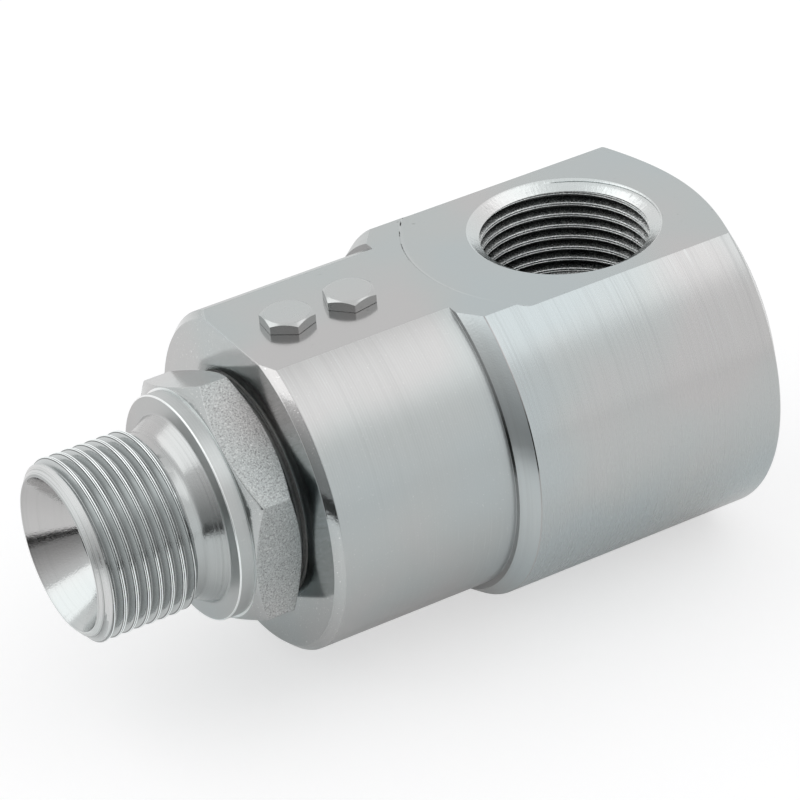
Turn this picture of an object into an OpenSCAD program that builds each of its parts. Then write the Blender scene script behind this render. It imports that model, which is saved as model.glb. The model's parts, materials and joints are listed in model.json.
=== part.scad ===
// Ninety degree swivel joint for high pressure hydraulic lines.
// The rotor turns in the housing on two rows of balls. Oil passes from the
// side port, through the cross bore of the housing, into the bore of the rotor.
// Millimetres. Origin: centre of the housing's rear face, on the swivel axis.
// X runs along the swivel axis towards the male thread, Z out of the side port.

/* [Housing] */
// Length of the housing along the swivel axis
housing_len = 74.4; // [72:0.1:90]
// Diameter of the rear part, which carries the side port
rear_d = 55; // [54:0.5:66]
// Diameter of the front part, over the ball rows
front_d = 50; // [48:0.5:53]
// Length of the front part
front_len = 28.4; // [24:0.1:34]
// Height of the small square step at the shoulder
shoulder_step = 0.45; // [0.2:0.05:1]
// Axial length of the shoulder chamfer
shoulder_chamfer = 2.5; // [1:0.1:4]
// Axial length of the chamfer at the rear end
rear_chamfer_len = 3.6; // [1:0.1:6]
// Radial depth of the chamfer at the rear end
rear_chamfer_depth = 6; // [1:0.1:9]
// Axial length of the chamfer at the front end
front_chamfer_len = 1.2; // [0.4:0.1:2]
// Radial depth of the chamfer at the front end
front_chamfer_depth = 1.1; // [0.4:0.1:2]

/* [Flat and spot face] */
// Height of the milled flat above the swivel axis
flat_height = 22.8; // [22:0.1:23.8]
// Depth of the spot face below the flat
spot_depth = 0.55; // [0.2:0.05:1.5]
// Diameter of the spot face round the port
spot_d = 46.6; // [34:0.2:50]

/* [Side port] */
// Distance of the port axis from the rear face
port_x = 20.7; // [18:0.1:22]
// Outside diameter of the port's G3/4 pipe thread
port_thread_d = 26.44; // [20.96:0.01:26.44]
// Core diameter of the port's pipe thread
port_core_d = 24.12; // [18:0.01:24.5]
// Depth of the port's thread below the spot face
port_depth = 15.3; // [12:0.1:16]
// Diameter of the port's rim
port_rim_d = 27.6; // [26.8:0.1:30]
// Depth of the chamfer at the port's rim
port_rim_depth = 0.45; // [0.2:0.05:1]
// Diameter of the cross bore that joins the port to the rotor
cross_bore_d = 16; // [12:0.5:18]
// Distance that the cross bore runs past the port axis
cross_bore_reach = 6.5; // [4:0.5:8]
// Included angle of the drill tips
drill_angle = 118; // [90:1:140]

/* [Swivel bearing] */
// Diameter of the rotor's journal
journal_d = 30; // [28:0.1:31]
// Radial gap between the journal and the housing
run_gap = 0.05; // [0.02:0.01:0.1]
// Diameter of one ball
ball_d = 4.76; // [4:0.01:4.76]
// Radial gap between a ball and its race
race_gap = 0.03; // [0.02:0.01:0.06]
// Distance from the housing's front face to the front ball row
front_row_depth = 8.8; // [8.2:0.1:9.6]
// Distance between the two ball rows
row_pitch = 9.85; // [9:0.05:10.5]

/* [Ball plugs] */
// Outside diameter of the plug's thread
plug_thread_d = 6; // [5.6:0.1:6.6]
// Diameter of the hole that a ball passes through
ball_hole_d = 4.92; // [4.84:0.01:5.2]
// Width across the flats of the plug's head
plug_af = 6.85; // [6.6:0.05:8]
// Height of the plug's head
plug_head = 1.65; // [1.2:0.05:3]
// Diameter of the round face on top of the plug's head
plug_top_d = 6.3; // [5.6:0.05:6.5]
// Angle of the chamfer round the plug's head to its top face
plug_chamfer_angle = 30; // [20:1:40]
// Angle at which the front plug's head came to rest
front_plug_turn = 23.5; // [0:0.5:60]
// Angle at which the rear plug's head came to rest
rear_plug_turn = 11.7; // [0:0.1:60]
// Gap between a plug's tip and the balls below it
plug_tip_gap = 0.1; // [0.05:0.01:0.2]
// Height of the step that a plug's thread ends on, above the race
plug_step = 0.15; // [0.1:0.05:0.5]

/* [Seals] */
// Outside diameter of the wiper ring
wiper_d = 33.2; // [33:0.1:34.5]
// Depth of the wiper's seat in the front face
wiper_depth = 2.4; // [1.8:0.1:3]
// Distance that the wiper sits below the front face
wiper_recess = 0.15; // [0.05:0.05:0.5]
// Thickness of the wiper's lip
wiper_lip = 0.55; // [0.4:0.05:0.8]
// Width of the slot behind the wiper's lip
wiper_slot_w = 0.2; // [0.1:0.05:0.4]
// Depth of the slot behind the wiper's lip
wiper_slot_depth = 0.9; // [0.5:0.1:1.5]
// Radial depth of the grease seal's groove
grease_groove_depth = 2.1; // [1.6:0.1:2.4]
// Width of the grease seal's groove
grease_groove_w = 3.4; // [2.8:0.1:3.6]
// Radial depth of the pressure seal's groove
pressure_groove_depth = 2.9; // [2.2:0.1:3.2]
// Width of the pressure O-ring between its back-up rings
pressure_ring_w = 4.2; // [3.6:0.1:4.4]
// Thickness of one back-up ring
backup_w = 1.4; // [1:0.1:1.5]
// Width of the land between a ball race and the next groove
race_land = 1.6; // [1.2:0.1:1.8]
// Width of the land between the two seal grooves
seal_land = 1.4; // [1.2:0.1:1.6]

/* [Rotor] */
// Free gap between the hexagon and the housing's front face
hex_gap = 1; // [0.5:0.1:2]
// Width across the flats of the spanner hexagon
hex_af = 33.8; // [33.6:0.1:36]
// Length of the hexagon
hex_len = 7.1; // [5:0.1:12]
// Diameter of the round face at each end of the hexagon
hex_face_d = 33.6; // [33.2:0.1:33.8]
// Angle of the hexagon's end chamfers to its faces
hex_chamfer_angle = 28.5; // [15:0.5:35]
// Angle of the hexagon at rest, from the Y axis
hex_turn = 23.2; // [0:0.1:60]
// Diameter of the round collar before the hexagon
collar_d = 32.9; // [30:0.1:33.2]
// Length of the collar
collar_len = 2.25; // [1:0.05:4]
// Diameter of the neck where it meets the collar
neck_root_d = 27.6; // [26:0.1:29]
// Diameter of the neck behind the thread
neck_d = 24.4; // [23.6:0.1:25]
// Length of the tapered part of the neck
neck_taper_len = 2.7; // [1:0.1:4]
// Length of the plain part of the neck
neck_len = 1.5; // [0.8:0.1:3]
// Outside diameter of the male G3/4 pipe thread
thread_d = 26.44; // [25.4:0.01:26.44]
// Length of the male thread with its end chamfers
thread_len = 14.85; // [10:0.05:20]
// Length of the chamfer at the thread's inner end
thread_lead_in = 0.9; // [0.5:0.1:1.5]
// Length of the chamfer at the thread's free end
thread_chamfer_len = 1.5; // [0.8:0.1:2.5]
// Diameter of the rotor's end face
end_face_d = 22.8; // [22.5:0.1:23]
// Diameter of the sealing cone's mouth
cone_mouth_d = 22.36; // [20:0.02:22.4]
// Included angle of the sealing cone
cone_angle = 60; // [50:1:90]
// Diameter of the rotor's flow bore
flow_bore_d = 15; // [10:0.5:16]
// Length of the journal behind the last seal groove
journal_tail = 1.5; // [1:0.1:2]
// Chamfer at the journal's rear end
journal_chamfer = 1; // [0.4:0.1:1.4]
// Gap between the journal's rear end and the bottom of its bore
journal_end_gap = 0.7; // [0.4:0.1:1.2]

/* [Hidden] */
$fn = 96;
// Cutting tools run past the metal by this much
over = 1;
// Gap between a seal and the walls of its groove
seat_gap = 0.02;
// Gap on each side of the grease O-ring
grease_side_gap = 0.06;
// Radial gap between a plug and its hole
plug_fit = 0.02;
// Angle that keeps the seam of a turned head away from its corners
seam_turn = 15;

rear_r = rear_d / 2;
front_r = front_d / 2;
shoulder_x = housing_len - front_len;
spot_z = flat_height - spot_depth;
port_bottom_z = spot_z - port_depth;
port_tip_z = port_bottom_z - port_core_d / 2 / tan(drill_angle / 2);

journal_r = journal_d / 2;
bore_r = journal_r + run_gap;
pitch_r = journal_r + run_gap / 2;
ball_r = ball_d / 2;
race_r = ball_r + race_gap;
front_row_x = housing_len - front_row_depth;
rear_row_x = front_row_x - row_pitch;
// As many balls as the row holds, with no cage between them
ball_count = floor(180 / asin(ball_r / pitch_r));

plug_hole_z = pitch_r + race_r + plug_step;
plug_tip_z = pitch_r + ball_r + plug_tip_gap;

wiper_x = housing_len - wiper_depth;
grease_x = rear_row_x - race_r - race_land - grease_groove_w;
pressure_groove_w = pressure_ring_w + 2 * backup_w + 4 * seat_gap;
pressure_x = grease_x - seal_land - pressure_groove_w;
rotor_rear_x = pressure_x - journal_tail;
bore_end_x = rotor_rear_x - journal_end_gap;
cross_bore_r = cross_bore_d / 2;
cross_bore_x = port_x - cross_bore_reach;

hex_x = housing_len + hex_gap;
collar_x = hex_x + hex_len;
neck_x = collar_x + collar_len;
thread_x = neck_x + neck_taper_len + neck_len;
rotor_end_x = thread_x + thread_len;

function two_digits(i) = str(i < 10 ? "0" : "", i);
function ball_name(row, i) = str(row, "_ball_", two_digits(i));
function ball_names(row) = [for (i = [1 : ball_count]) ball_name(row, i)];

// Turns a profile of [x, radius] points about the swivel axis
module turned(points) {
    rotate([0, 90, 0])
        rotate_extrude()
            polygon([for (p = points) [p[1], p[0]]]);
}

// Solid bar between two stations on the swivel axis
module bar(x0, x1, r) {
    translate([x0, 0, 0])
        rotate([0, 90, 0])
            cylinder(h = x1 - x0, r = r);
}

// Ring with a square section
module square_ring(x0, x1, inner_r, outer_r) {
    turned([[x0, inner_r], [x1, inner_r], [x1, outer_r], [x0, outer_r]]);
}

// Ring of rubber pressed flat between two walls, with round sides
module pressed_ring(x0, x1, inner_r, outer_r) {
    round_r = (outer_r - inner_r) / 2;
    rotate([0, 90, 0])
        rotate_extrude()
            union() {
                translate([inner_r, x0 + round_r])
                    square([2 * round_r, x1 - x0 - 2 * round_r]);
                for (x = [x0 + round_r, x1 - round_r])
                    translate([inner_r + round_r, x])
                        circle(r = round_r, $fn = 48);
            }
}

// Groove in which the balls of one row run
module race(row_x) {
    translate([row_x, 0, 0])
        rotate([0, 90, 0])
            rotate_extrude()
                translate([pitch_r, 0])
                    circle(r = race_r, $fn = 64);
}

module housing_body() {
    turned([
        [0, 0],
        [0, rear_r - rear_chamfer_depth],
        [rear_chamfer_len, rear_r],
        [shoulder_x - shoulder_chamfer, rear_r],
        [shoulder_x, front_r + shoulder_step],
        [shoulder_x, front_r],
        [housing_len - front_chamfer_len, front_r],
        [housing_len, front_r - front_chamfer_depth],
        [housing_len, 0]]);
}

// Flat for the plugs, and the deeper spot face that runs out at the rear
module flat_cut() {
    translate([-over, -rear_r, flat_height])
        cube([housing_len + 2 * over, rear_d, rear_r]);
    translate([port_x, 0, spot_z])
        cylinder(h = rear_r, d = spot_d);
    translate([-over, -spot_d / 2, spot_z])
        cube([port_x + over, spot_d, rear_r]);
}

// Threaded side port with its rim chamfer and drill tip
module port_cut() {
    translate([port_x, 0, port_bottom_z])
        cylinder(h = port_depth + over, d = port_thread_d);
    translate([port_x, 0, spot_z - port_rim_depth])
        cylinder(h = port_rim_depth, d1 = port_thread_d, d2 = port_rim_d);
    translate([port_x, 0, port_tip_z])
        cylinder(h = port_bottom_z - port_tip_z, r1 = 0, d2 = port_core_d);
}

// Cross bore, drilled through the swivel bore and ending under the port
module cross_bore_cut() {
    tip_len = cross_bore_r / tan(drill_angle / 2);
    bar(cross_bore_x, bore_end_x + over, cross_bore_r);
    turned([[cross_bore_x - tip_len, 0], [cross_bore_x, cross_bore_r], [cross_bore_x, 0]]);
}

// Bore for the journal, with the seats of the wiper and the seals
module swivel_bore_cut() {
    bar(bore_end_x, housing_len + over, bore_r);
    bar(wiper_x, housing_len + over, wiper_d / 2);
    bar(grease_x, grease_x + grease_groove_w, bore_r + grease_groove_depth);
    bar(pressure_x, pressure_x + pressure_groove_w, bore_r + pressure_groove_depth);
}

// Hole through which the balls of one row are loaded
module loading_hole_cut(row_x) {
    translate([row_x, 0, plug_hole_z])
        cylinder(h = rear_r, d = plug_thread_d);
    translate([row_x, 0, journal_r - race_r])
        cylinder(h = rear_r, d = ball_hole_d);
}

module housing() {
    color([0.73, 0.74, 0.75])
        difference() {
            housing_body();
            flat_cut();
            port_cut();
            cross_bore_cut();
            swivel_bore_cut();
            for (row_x = [front_row_x, rear_row_x]) {
                race(row_x);
                loading_hole_cut(row_x);
            }
        }
}

// Hexagon for the spanner, chamfered on both faces
module spanner_hex() {
    corner_r = hex_af / 2 / cos(30);
    face_r = hex_face_d / 2;
    bevel = (corner_r + over - face_r) * tan(hex_chamfer_angle);
    intersection() {
        translate([hex_x, 0, 0])
            rotate([hex_turn, 0, 0])
                rotate([0, 90, 0])
                    rotate([0, 0, 30])
                        cylinder(h = hex_len, r = corner_r, $fn = 6);
        turned([
            [hex_x, 0],
            [hex_x, face_r],
            [hex_x + bevel, corner_r + over],
            [hex_x + hex_len - bevel, corner_r + over],
            [hex_x + hex_len, face_r],
            [hex_x + hex_len, 0]]);
    }
}

// Everything on the rotor that is turned on the outside
module rotor_body() {
    turned([
        [rotor_rear_x, 0],
        [rotor_rear_x, journal_r - journal_chamfer],
        [rotor_rear_x + journal_chamfer, journal_r],
        [hex_x + over, journal_r],
        [hex_x + over, collar_d / 2],
        [neck_x, collar_d / 2],
        [neck_x, neck_root_d / 2],
        [neck_x + neck_taper_len, neck_d / 2],
        [thread_x, neck_d / 2],
        [thread_x + thread_lead_in, thread_d / 2],
        [rotor_end_x - thread_chamfer_len, thread_d / 2],
        [rotor_end_x, end_face_d / 2],
        [rotor_end_x, 0]]);
}

// Flow bore through the rotor, opening into the sealing cone
module rotor_bore_cut() {
    flow_r = flow_bore_d / 2;
    mouth_r = cone_mouth_d / 2;
    cone_len = (mouth_r - flow_r) / tan(cone_angle / 2);
    bar(rotor_rear_x - over, rotor_end_x + over, flow_r);
    turned([
        [rotor_end_x - cone_len, 0],
        [rotor_end_x - cone_len, flow_r],
        [rotor_end_x, mouth_r],
        [rotor_end_x + over, mouth_r],
        [rotor_end_x + over, 0]]);
    turned([
        [rotor_rear_x - over, 0],
        [rotor_rear_x - over, flow_r + journal_chamfer],
        [rotor_rear_x, flow_r + journal_chamfer],
        [rotor_rear_x + journal_chamfer, flow_r],
        [rotor_rear_x + journal_chamfer, 0]]);
}

module rotor() {
    color([0.75, 0.76, 0.77])
        difference() {
            union() {
                rotor_body();
                spanner_hex();
            }
            rotor_bore_cut();
            race(front_row_x);
            race(rear_row_x);
        }
}

// Screw plug that closes a loading hole, with a chamfered hexagon head
module ball_plug(row_x, turn) {
    corner_r = plug_af / 2 / cos(30);
    face_r = plug_top_d / 2;
    bevel = (corner_r + over - face_r) * tan(plug_chamfer_angle);
    step_z = plug_hole_z + plug_fit;
    translate([row_x, 0, 0]) {
        rotate([0, 0, turn])
            intersection() {
                translate([0, 0, flat_height])
                    cylinder(h = plug_head, r = corner_r, $fn = 6);
                rotate([0, 0, seam_turn])
                    rotate_extrude()
                        polygon([
                            [0, flat_height - over],
                            [corner_r + over, flat_height - over],
                            [corner_r + over, flat_height + plug_head - bevel],
                            [face_r, flat_height + plug_head],
                            [0, flat_height + plug_head]]);
            }
        translate([0, 0, step_z])
            cylinder(h = flat_height - step_z + plug_head / 2, r = plug_thread_d / 2 - plug_fit);
        translate([0, 0, plug_tip_z])
            cylinder(h = flat_height - plug_tip_z, r = ball_hole_d / 2 - plug_fit);
    }
}

module front_ball_plug() {
    color([0.70, 0.71, 0.73])
        ball_plug(front_row_x, front_plug_turn);
}

module rear_ball_plug() {
    color([0.70, 0.71, 0.73])
        ball_plug(rear_row_x, rear_plug_turn);
}

// Dirt wiper: a body that fills its seat, and a lip that rides on the journal
module wiper_ring() {
    inner_r = journal_r + run_gap;
    outer_r = wiper_d / 2 - seat_gap;
    lip_r = inner_r + wiper_lip;
    slot_r = lip_r + wiper_slot_w;
    back_x = wiper_x + seat_gap;
    face_x = housing_len - wiper_recess;
    slot_x = face_x - wiper_slot_depth;
    color([0.50, 0.49, 0.47])
        turned([
            [back_x, inner_r],
            [face_x, inner_r],
            [face_x, lip_r],
            [slot_x, lip_r],
            [slot_x, slot_r],
            [face_x, slot_r],
            [face_x, outer_r],
            [back_x, outer_r]]);
}

module grease_o_ring() {
    color([0.08, 0.08, 0.08])
        pressed_ring(grease_x + grease_side_gap, grease_x + grease_groove_w - grease_side_gap,
                     journal_r + run_gap, bore_r + grease_groove_depth - seat_gap);
}

module pressure_o_ring() {
    x0 = pressure_x + backup_w + 2 * seat_gap;
    color([0.08, 0.08, 0.08])
        pressed_ring(x0, x0 + pressure_ring_w,
                     journal_r + run_gap, bore_r + pressure_groove_depth - seat_gap);
}

// Square back-up ring that keeps the O-ring out of the running gap
module backup_ring(x0) {
    color([0.90, 0.89, 0.84])
        square_ring(x0, x0 + backup_w,
                    journal_r + run_gap, bore_r + pressure_groove_depth - seat_gap);
}

module front_backup_ring() {
    backup_ring(pressure_x + pressure_groove_w - backup_w - seat_gap);
}

module rear_backup_ring() {
    backup_ring(pressure_x + seat_gap);
}

// One ball of a row; the first lies halfway between the top and its neighbour
module race_ball(row_x, i) {
    turn = (i - 0.5) * 360 / ball_count;
    color([0.82, 0.83, 0.85])
        translate([row_x, pitch_r * sin(turn), pitch_r * cos(turn)])
            sphere(r = ball_r, $fn = 48);
}

housing();
rotor();
front_ball_plug();
rear_ball_plug();
wiper_ring();
grease_o_ring();
pressure_o_ring();
front_backup_ring();
rear_backup_ring();
for (i = [1 : ball_count]) {
    race_ball(front_row_x, i);
    race_ball(rear_row_x, i);
}
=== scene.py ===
import json
import math

import bmesh
import bpy
import numpy as np
from mathutils import Matrix, Vector


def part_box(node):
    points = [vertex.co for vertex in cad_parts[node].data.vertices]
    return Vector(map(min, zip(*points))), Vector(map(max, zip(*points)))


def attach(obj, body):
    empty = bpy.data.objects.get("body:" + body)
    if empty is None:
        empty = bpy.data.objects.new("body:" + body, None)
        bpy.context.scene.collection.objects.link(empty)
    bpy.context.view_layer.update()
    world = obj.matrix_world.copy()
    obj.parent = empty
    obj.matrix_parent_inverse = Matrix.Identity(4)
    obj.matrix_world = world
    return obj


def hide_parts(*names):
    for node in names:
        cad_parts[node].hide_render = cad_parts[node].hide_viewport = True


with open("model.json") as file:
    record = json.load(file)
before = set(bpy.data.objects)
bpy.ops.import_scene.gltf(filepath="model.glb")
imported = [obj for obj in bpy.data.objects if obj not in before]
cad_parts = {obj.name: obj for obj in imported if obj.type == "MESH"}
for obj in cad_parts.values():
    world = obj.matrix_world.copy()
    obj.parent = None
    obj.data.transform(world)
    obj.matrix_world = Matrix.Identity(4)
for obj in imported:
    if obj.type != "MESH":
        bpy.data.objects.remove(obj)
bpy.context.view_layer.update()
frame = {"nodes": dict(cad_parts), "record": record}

# Metres in a millimetre, and how near points join, in metres
MM = 0.001
MERGE = 2e-7

# Sizes in millimetres and angles in radians, in the frame of the CAD model
housing_low, housing_high = (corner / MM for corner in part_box("housing"))
rotor_low, rotor_high = (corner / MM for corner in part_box("rotor"))
mounts = {mount["name"]: mount for mount in frame["record"]["mounts"]}

FLAT_Z = housing_high.z
REAR_R = housing_high.y
HOUSING_LEN = housing_high.x
FRONT_R = 25.0
SHOULDER_X = 46.0
SHOULDER_STEP = 0.8
SHOULDER_CHAMFER = 2.5
# Length and depth of the chamfers at the housing's ends
REAR_CHAMFER = (3.6, 6.0)
FRONT_CHAMFER = (1.2, 1.1)
PORT_X = mounts["port_thread"]["pos_m"][0] / MM
SPOT_Z = mounts["port_face"]["pos_m"][2] / MM
SPOT_R = 23.3
SPOT_FILLET = 1.2
PORT_WALL_Z = 6.95
PORT_TIP_Z = -0.3
PORT_RUN_OUT = 1.2
PORT_RIM_R = 13.8
PORT_CHAMFER_Z = 21.1
# Radius of the broken edges
EDGE = 0.16
# How far a line runs past a corner that is to be rounded, and a cutter past what it opens
STUB = 2.0
# How near two stations count as one
NEAR = 1e-6

THREAD_R = mounts["male_thread"]["dims"]["r_mm"]
CORE_R = 12.06
PITCH = 25.4 / 14

BORE_R = 15.05
JOURNAL_R = 15.0
TAIL_CHAMFER = 1.0
TAIL_LEAD = 3.0
FLOW_R = 7.5
BALL_PITCH_R = 15.025
RACE_R = 2.41
FRONT_ROW_X = 65.6
REAR_ROW_X = 55.75
BORE_END_X = 37.66
# Tip of the drill, start of its full width, and radius
CROSS_BORE = (9.39, 14.2, 8.0)
# Start, end and radius of each seal groove
PRESSURE_GROOVE = (39.86, 46.94, 17.95)
GREASE_GROOVE = (48.34, 51.74, 17.15)
WIPER_X = 72.0
WIPER_R = 16.6
WIPER_RECESS = 0.15
WIPER_LIP = 0.55
WIPER_SLOT = (0.2, 0.9)

HEX_X = 75.4
HEX_END_X = 82.5
HEX_FLAT_R = 16.9
HEX_FACE_R = 16.8
HEX_CORNER_R = 0.35
HEX_BEVEL = math.tan(math.radians(28.5))
HEX_TURN = math.radians(23.2)
COLLAR_R = 16.45
NECK_X = 84.75
NECK_ROOT_R = 13.8
TAPER_END_X = 87.45
NECK_R = 12.2
THREAD_X = 88.95
THREAD_LEAD_IN = 0.9
ROTOR_END_X = rotor_high.x
END_CHAMFER = 1.5
END_FACE_R = 11.4
CONE_MOUTH_R = 11.18
CONE_END_X = ROTOR_END_X - (CONE_MOUTH_R - FLOW_R) / math.tan(math.radians(30))

PLUG_FLAT_R = 3.425
PLUG_CORNER_R = 0.12
PLUG_TOP_R = 3.15
PLUG_HEAD = 1.65
PLUG_THREAD_R = 3.0
PLUG_FOOT_Z = 17.6
BALL_HOLE_R = 2.46
PLUG_TURNS = {FRONT_ROW_X: math.radians(23.5), REAR_ROW_X: math.radians(11.7)}


def rounded(corners, closed=False, steps=4):
    """The outline through corners (x, r, radius), each corner rounded by an arc of its radius."""
    points = []
    count = len(corners)
    for i, (x, r, radius) in enumerate(corners):
        here = np.array((x, r), float)
        if radius == 0 or (not closed and i in (0, count - 1)):
            points.append(tuple(here))
            continue
        back = np.array(corners[i - 1][:2], float) - here
        ahead = np.array(corners[(i + 1) % count][:2], float) - here
        back_len, ahead_len = np.hypot(*back), np.hypot(*ahead)
        back, ahead = back / back_len, ahead / ahead_len
        opening = math.acos(np.clip(back @ ahead, -1, 1))
        cut = min(radius / math.tan(opening / 2), 0.48 * back_len, 0.48 * ahead_len)
        middle = (back + ahead) / np.hypot(*(back + ahead))
        centre = here + middle * cut / math.cos(opening / 2)
        sweep = math.pi - opening
        first, last = here + back * cut - centre, here + ahead * cut - centre
        for k in range(steps + 1):
            share = k / steps
            spoke = first * math.sin((1 - share) * sweep) + last * math.sin(share * sweep)
            points.append(tuple(centre + spoke / math.sin(sweep)))
    return points


def race_points(row_x, side, steps=14):
    """Section of one ball race from rear to front: side is -1 in the rotor, 1 in the housing."""
    return [(row_x - RACE_R * math.cos(a), BALL_PITCH_R + side * RACE_R * math.sin(a))
            for a in np.linspace(0.02, math.pi - 0.02, steps)]


def hexagon_radius(angles, flat_r, corner_r):
    """Radius of a hexagon with rounded corners; a corner lies at angle 0."""
    corner_angle = math.radians(30)
    off = np.abs((angles + corner_angle) % (2 * corner_angle) - corner_angle)
    straight = flat_r / np.cos(corner_angle - off)
    centre = (flat_r - corner_r) / math.cos(corner_angle)
    arc_limit = math.atan2(corner_r * math.sin(corner_angle),
                           centre + corner_r * math.cos(corner_angle))
    inside = np.clip(corner_r ** 2 - (centre * np.sin(off)) ** 2, 0, None)
    arc = centre * np.cos(off) + np.sqrt(inside)
    return np.where(off < arc_limit, arc, straight)


def hexagon_angles(turn, count=240):
    """Angles round a hexagon, closer together at its corners."""
    fine = np.radians([0.2, 0.4, 0.6, 0.8, 1.1])
    corners = np.radians(np.arange(0, 361, 60))
    even = np.linspace(0, 2 * math.pi, count + 1)
    close = np.concatenate([corner + side * fine for corner in corners for side in (-1, 1)])
    angles = np.concatenate([even, close])
    angles = np.unique(np.round(angles[(angles >= 0) & (angles <= 2 * math.pi)], 6))
    angles[-1] = 2 * math.pi
    return angles + turn


# Half the section of one pitch of a thread, as distance from the middle of the ridge and depth
# below its top. The port's is the form of what is cut out, so its ridge is the thread's groove.
MALE_FORM = [(0.0, 0.14), (0.05, 0.11), (0.09, 0.03), (0.135, 0.0), (0.19, 0.02), (0.24, 0.10),
             (0.45, 0.50), (0.64, 0.86), (0.72, 0.97), (0.78, 1.05), (0.85, 1.10), (0.907, 1.118)]
FEMALE_FORM = [(0.0, 0.0), (0.06, 0.0), (0.12, 0.04), (0.19, 0.13), (0.45, 0.62), (0.64, 0.99),
               (0.69, 1.12), (0.73, 1.16), (0.77, 1.12), (0.83, 0.93), (0.907, 0.90)]


def thread_rows(first, last, angles, form, low, high, material):
    """Rows of a right-hand thread between two stations, held between the radii low and high.

    A row past a station lies on it, and takes there the depth that the thread has at that place.
    """
    turned = (angles - angles[0]) / (2 * math.pi)
    whole = [(0.5 - distance / PITCH, depth) for distance, depth in reversed(form)][1:]
    whole += [(0.5 + distance / PITCH, depth) for distance, depth in form[1:]]
    rows = []
    for turn in range(-2, math.ceil((last - first) / PITCH) + 1):
        for share, depth in whole:
            reached = first + (turn + share + turned) * PITCH
            if reached.max() <= first:
                continue
            along = np.clip(reached, first, last)
            away = (along - first) / PITCH - turned - 0.5
            away = np.abs(away - np.round(away)) * PITCH
            depths = np.where(along == reached, depth, np.interp(away, *zip(*form)))
            radius = np.maximum(THREAD_R - depths, low(along))
            rows.append((along, np.minimum(radius, high(along)), material))
            if reached.min() >= last:
                return rows
    return rows


def ramp(*points):
    """The function that runs straight from point to point."""
    stations, values = zip(*points)
    return lambda along: np.interp(along, stations, values)


def on_x(along, radius, angle):
    return np.stack([along, radius * np.cos(angle), radius * np.sin(angle)], -1)


def on_z(centre_x):
    def place(along, radius, angle):
        return np.stack([centre_x + radius * np.cos(angle), radius * np.sin(angle), along], -1)
    return place


def link_object(name, data):
    """A new object of the data, in the scene."""
    made = bpy.data.objects.new(name, data)
    bpy.context.scene.collection.objects.link(made)
    return made


def mesh_object(name, points, faces, indices, materials):
    """One closed mesh from points in millimetres, with coincident points joined."""
    mesh = bpy.data.meshes.new(name)
    mesh.from_pydata((np.asarray(points) * MM).tolist(), [], faces)
    for material in materials:
        mesh.materials.append(material)
    mesh.polygons.foreach_set("material_index", indices)
    solid = bmesh.new()
    solid.from_mesh(mesh)
    bmesh.ops.remove_doubles(solid, verts=solid.verts, dist=MERGE)
    bmesh.ops.dissolve_degenerate(solid, edges=solid.edges, dist=MERGE)
    bmesh.ops.recalc_face_normals(solid, faces=solid.faces)
    solid.to_mesh(mesh)
    solid.free()
    return link_object(name, mesh)


def spun(name, rows, angles, place, materials, closed):
    """A mesh of rows (along, radius, material number) round an axis, with one column per angle."""
    points = []
    for along, radius, _ in rows:
        ones = np.ones_like(angles)
        points.append(place(along * ones, radius * ones, angles))
    points = np.concatenate(points)
    width = len(angles)
    faces, indices = [], []
    for i in range(len(rows) if closed else len(rows) - 1):
        here, there = i * width, (i + 1) % len(rows) * width
        for j in range(width - 1):
            faces.append((here + j, here + j + 1, there + j + 1, there + j))
        indices += [rows[i][2]] * (width - 1)
    return mesh_object(name, points, faces, indices, materials)


def plain_rows(points, material):
    return [(x, r, material) for x, r in points]


def smooth(piece, angle=38):
    """Smooth shading with sharp edges, weighted so that flat faces stay flat."""
    piece.data.shade_smooth()
    piece.data.set_sharp_from_angle(angle=math.radians(angle))
    weights = piece.modifiers.new("weighted_normals", "WEIGHTED_NORMAL")
    weights.mode = "FACE_AREA"
    weights.weight = 50
    weights.keep_sharp = True


def carve(piece, cutters):
    """Takes the cutters out of the piece and leaves one plain mesh."""
    for cutter in cutters:
        cut = piece.modifiers.new("cut", "BOOLEAN")
        cut.operation = "DIFFERENCE"
        cut.solver = "EXACT"
        cut.object = cutter
    bpy.context.view_layer.update()
    graph = bpy.context.evaluated_depsgraph_get()
    carved = bpy.data.meshes.new_from_object(piece.evaluated_get(graph))
    piece.modifiers.clear()
    old = piece.data
    piece.data = carved
    bpy.data.meshes.remove(old)
    for cutter in cutters:
        bpy.data.objects.remove(cutter)


def feed_socket(tree, socket, value):
    """Links the socket to another one, or sets it to a plain value."""
    if isinstance(value, bpy.types.NodeSocket):
        tree.links.new(value, socket)
    else:
        socket.default_value = value


def add(tree, kind, sockets=None, **settings):
    """A new node with its settings, and each socket set to a value or linked to another socket."""
    node = tree.nodes.new(kind)
    for name, value in settings.items():
        setattr(node, name, value)
    for name, value in (sockets or {}).items():
        feed_socket(tree, node.inputs[name], value)
    return node


def math_node(tree, operation, a, b=0.0, clamp=False):
    return add(tree, "ShaderNodeMath", {0: a, 1: b}, operation=operation,
               use_clamp=clamp).outputs[0]


def times(tree, a, b, clamp=False):
    return math_node(tree, "MULTIPLY", a, b, clamp)


def plus(tree, total, *others):
    """The sum of the values."""
    for value in others:
        total = math_node(tree, "ADD", total, value)
    return total


def swing(tree, value, gain):
    """How far a noise lies from its middle, times the gain."""
    return times(tree, math_node(tree, "SUBTRACT", value, NOISE_MIDDLE), gain)


def over(tree, value, limit, gain):
    """How far the value lies over the limit, times the gain, held between 0 and 1."""
    return times(tree, math_node(tree, "SUBTRACT", value, limit, True), gain, True)


def split(tree, vector):
    return add(tree, "ShaderNodeSeparateXYZ", {0: vector}).outputs


def joined(tree, *parts):
    return add(tree, "ShaderNodeCombineXYZ", dict(enumerate(parts))).outputs[0]


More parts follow.
